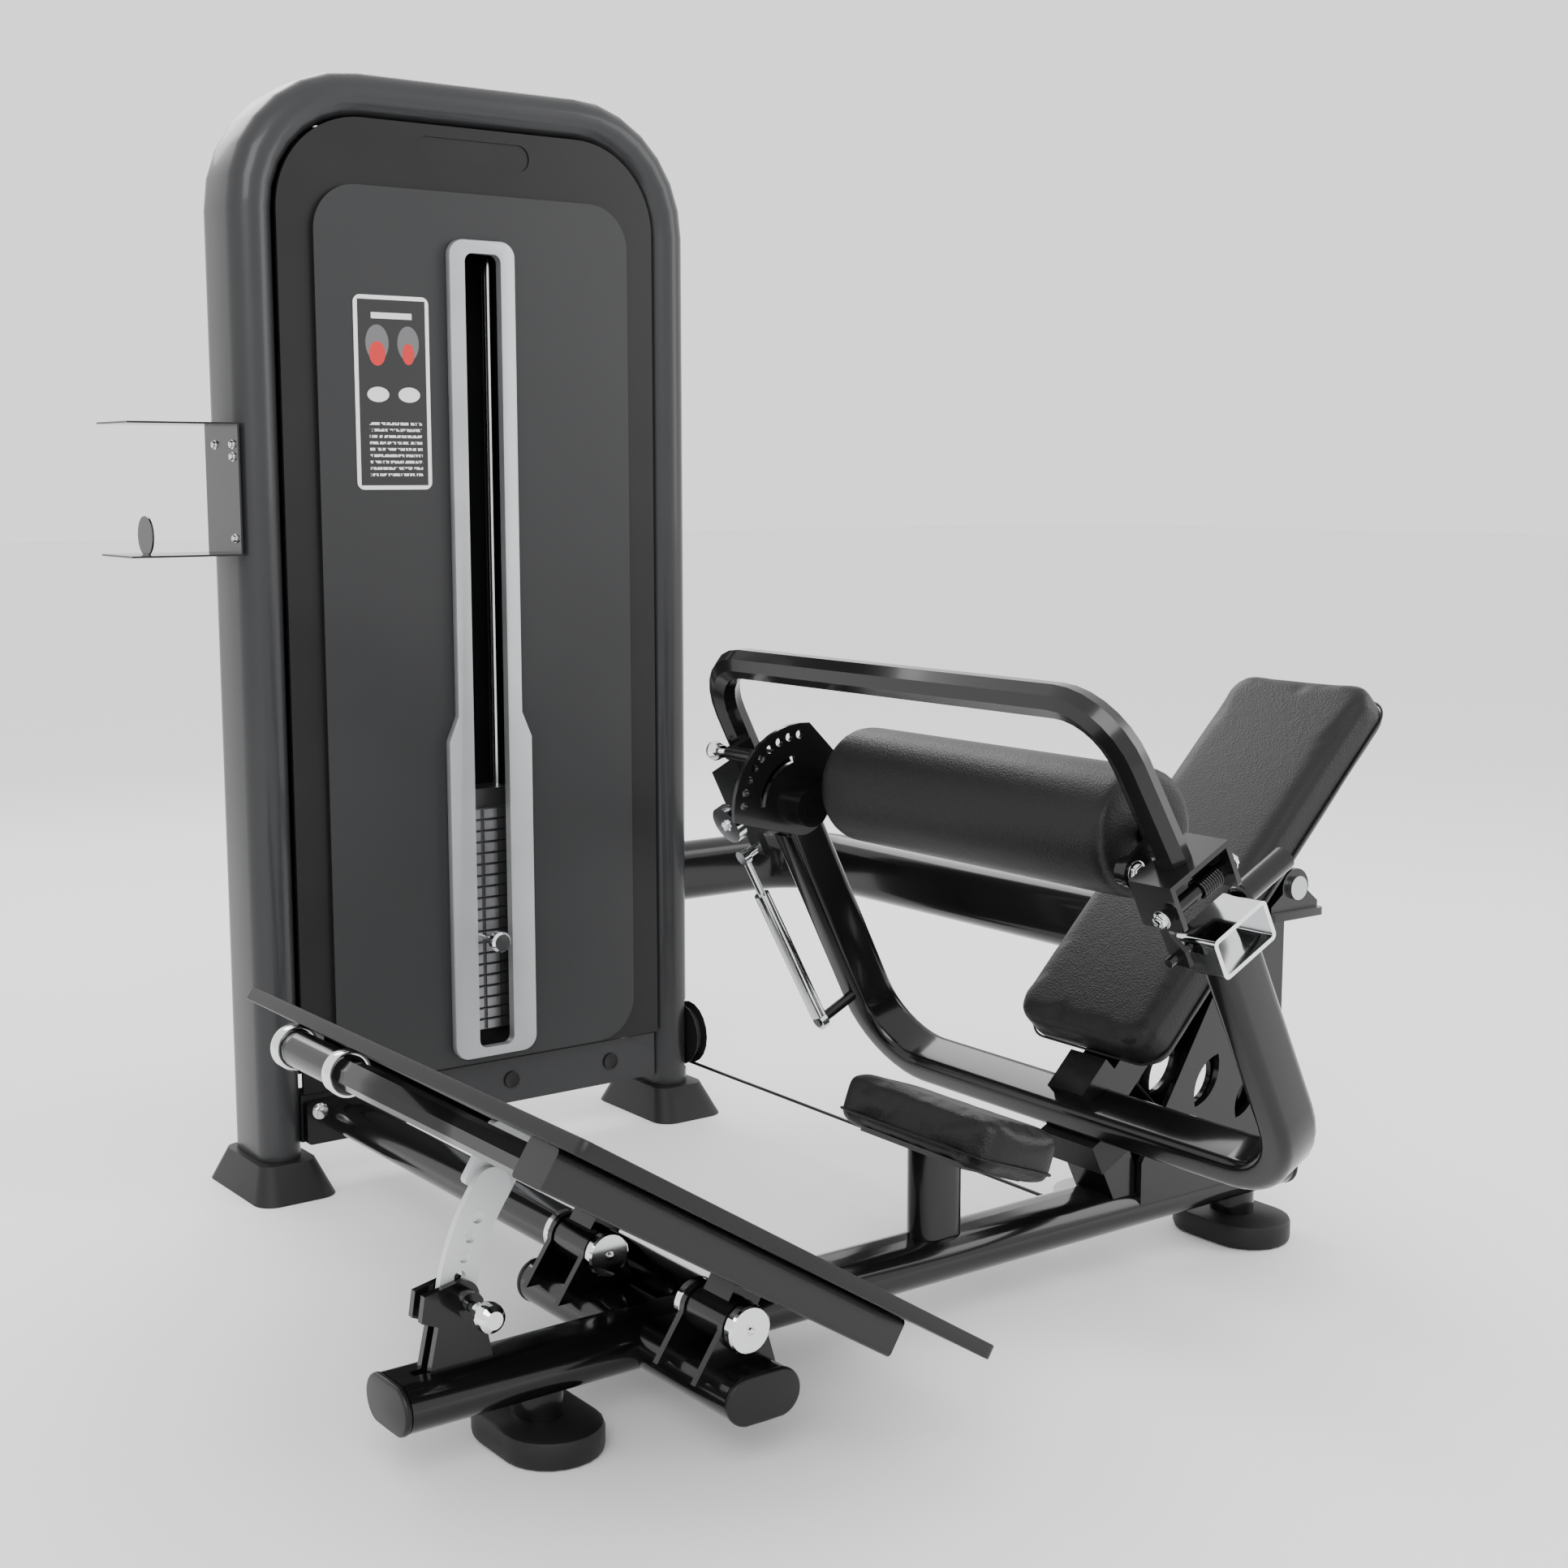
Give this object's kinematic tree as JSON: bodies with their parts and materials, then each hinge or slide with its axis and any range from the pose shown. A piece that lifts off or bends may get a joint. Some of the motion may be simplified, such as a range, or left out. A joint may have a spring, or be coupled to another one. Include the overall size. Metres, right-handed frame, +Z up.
{
  "type": "hip thrust machine",
  "caption": "Weight stack hip thrust machine: tower with cable, low bench with tilting foot platform and seat, and a swinging arm with back pad and latched hip roller gate.",
  "frame": {"origin": "on the floor, at the middle of the footprint", "axes": "+Z up; the weight tower faces -Y; +X runs from the foot platform to the swing arm pivot"},
  "size_m": [1.3644, 1.397, 1.5],
  "materials": {
    "grey_paint": "satin",
    "black_paint": "gloss",
    "panel_grey": "satin",
    "silver_paint": "satin",
    "light_paint": "satin",
    "chrome": "polished",
    "steel": "brushed",
    "rubber": "matt",
    "leather": "grained",
    "plastic": "matt"
  },
  "bodies": {
    "machine_frame": {"tower_frame": "grey_paint", "tower_bottom_bar": "grey_paint", "shoe_left": "rubber", "shoe_right": "rubber", "front_cover": "panel_grey", "rear_cover": "panel_grey", "slot_bezel": "silver_paint", "bottle_holder": "black_paint", "weight_plates_lower": "steel", "guide_rods": "chrome", "stack_buffer": "rubber", "cable": "plastic", "base_tube": "black_paint", "cross_member_near": "black_paint", "cross_member_far": "black_paint", "hinge_pin_near": "chrome", "hinge_pin_far": "chrome", "gusset_near": "black_paint", "gusset_far": "black_paint", "bearing_block_near": "black_paint", "bearing_block_far": "black_paint", "foot_front": "rubber", "foot_rear": "rubber", "long_tube": "black_paint", "arc_clevis": "black_paint", "seat_pad": "leather", "seat_post": "black_paint", "rear_post": "black_paint", "brace_tube": "black_paint", "stop_pad": "rubber", "stop_post": "black_paint"},
    "weight_stack": {"weight_plates_upper": "steel"},
    "selector": {"selector_pin": "chrome"},
    "swing_arm": {"yoke_tube": "black_paint", "arm_tube": "black_paint", "arm_shaft": "steel", "back_pad": "leather", "back_pad_plate": "black_paint", "latch_box": "chrome", "gate_hinge_pin": "chrome"},
    "stack_pulley": {"pulley_stack": "plastic"},
    "corner_pulley": {"pulley_corner": "plastic"},
    "leg_pulley": {"pulley_leg": "plastic"},
    "bench_pulley": {"pulley_bench": "plastic"},
    "base_pulley": {"pulley_base": "plastic"},
    "foot_platform": {"foot_plate": "black_paint", "platform_rail_near": "black_paint", "platform_rail_far": "black_paint", "platform_crossbar": "black_paint", "platform_handle": "black_paint", "adjuster_arc": "light_paint"},
    "platform_plunger": {"platform_pin": "chrome"},
    "gate": {"gate_handle": "black_paint", "gate_clevis": "black_paint"},
    "latch": {"latch_lever": "black_paint"},
    "roller_arm": {"roller_sector": "black_paint"},
    "sector_plunger": {"sector_pin": "chrome"},
    "roller": {"roller_pad": "leather"},
    "gas_body": {"gas_cylinder": "chrome"},
    "gas_piston": {"gas_rod": "chrome"}
  },
  "joints": [
    {"name": "stack_lift", "type": "slide", "parent": "machine_frame", "child": "weight_stack", "axis": [0, 0, 1], "range_m": [0, 0.2]},
    {"name": "selector_pull", "type": "slide", "parent": "weight_stack", "child": "selector", "axis": [0, -1, 0], "range_m": [0, 0.05]},
    {"name": "arm_swing", "type": "hinge", "parent": "machine_frame", "child": "swing_arm", "pos_m": [0.54153, -0.3205, 0.465], "axis": [0, 1, 0], "range_deg": [0, 40]},
    {"name": "stack_pulley_spin", "type": "hinge", "parent": "machine_frame", "child": "stack_pulley", "pos_m": [-0.02497, 0.6105, 1.35], "axis": [0, 1, 0], "continuous": true},
    {"name": "corner_pulley_spin", "type": "hinge", "parent": "machine_frame", "child": "corner_pulley", "pos_m": [0.15454, 0.6105, 1.35], "axis": [0, 1, 0], "continuous": true},
    {"name": "leg_pulley_spin", "type": "hinge", "parent": "machine_frame", "child": "leg_pulley", "pos_m": [0.28153, 0.5725, 0.118], "axis": [1, 0, 0], "continuous": true},
    {"name": "bench_pulley_spin", "type": "hinge", "parent": "machine_frame", "child": "bench_pulley", "pos_m": [0.32654, -0.277, 0.0725], "axis": [0, 0, 1], "continuous": true},
    {"name": "base_pulley_spin", "type": "hinge", "parent": "machine_frame", "child": "base_pulley", "pos_m": [0.40153, -0.3205, 0.116], "axis": [0, 1, 0], "continuous": true},
    {"name": "platform_tilt", "type": "hinge", "parent": "machine_frame", "child": "foot_platform", "pos_m": [-0.36646, -0.3205, 0.141], "axis": [0, 1, 0], "range_deg": [-20, 0]},
    {"name": "platform_pin_pull", "type": "slide", "parent": "machine_frame", "child": "platform_plunger", "axis": [0, 1, 0], "range_m": [0, 0.013]},
    {"name": "gate_open", "type": "hinge", "parent": "swing_arm", "child": "gate", "pos_m": [0.0608, 0.0435, 0.57395], "axis": [0.8957, 0, 0.4446], "range_deg": [-75, 0]},
    {"name": "latch_turn", "type": "hinge", "parent": "swing_arm", "child": "latch", "pos_m": [0.09325, -0.6585, 0.50857], "axis": [0.8957, 0, 0.4446], "range_deg": [-15, 0], "stiffness_Nm_per_rad": 4, "springref_deg": 8.59},
    {"name": "sector_tilt", "type": "hinge", "parent": "gate", "child": "roller_arm", "pos_m": [0.0496, -0.3205, 0.56728], "axis": [0, 1, 0], "range_deg": [-30.6, 40.8]},
    {"name": "sector_pin_pull", "type": "slide", "parent": "gate", "child": "sector_plunger", "axis": [0, -1, 0], "range_m": [0, 0.012]},
    {"name": "roller_spin", "type": "hinge", "parent": "roller_arm", "child": "roller", "pos_m": [0.09262, -0.3205, 0.5998], "axis": [0, 1, 0], "continuous": true},
    {"name": "gas_swivel", "type": "hinge", "parent": "swing_arm", "child": "gas_body", "pos_m": [0.13147, 0.0335, 0.26964], "axis": [0.8957, 0, 0.4446], "range_deg": [0, 11.5]},
    {"name": "gas_extend", "type": "slide", "parent": "gas_body", "child": "gas_piston", "axis": [-0.444, 0.0555, 0.8943], "range_m": [0, 0.04]}
  ],
  "couplings": [
    {"joint": "arm_swing", "follows": "stack_lift", "rad_per_m": 3.3},
    {"joint": "stack_pulley_spin", "follows": "stack_lift", "rad_per_m": 22.99},
    {"joint": "corner_pulley_spin", "follows": "stack_lift", "rad_per_m": 22.99},
    {"joint": "leg_pulley_spin", "follows": "stack_lift", "rad_per_m": -22.99},
    {"joint": "bench_pulley_spin", "follows": "stack_lift", "rad_per_m": 22.99},
    {"joint": "base_pulley_spin", "follows": "stack_lift", "rad_per_m": -22.99},
    {"joint": "gas_swivel", "follows": "gate_open", "ratio": -0.146},
    {"joint": "gas_extend", "follows": "gate_open", "m_per_rad": -0.02827}
  ]
}
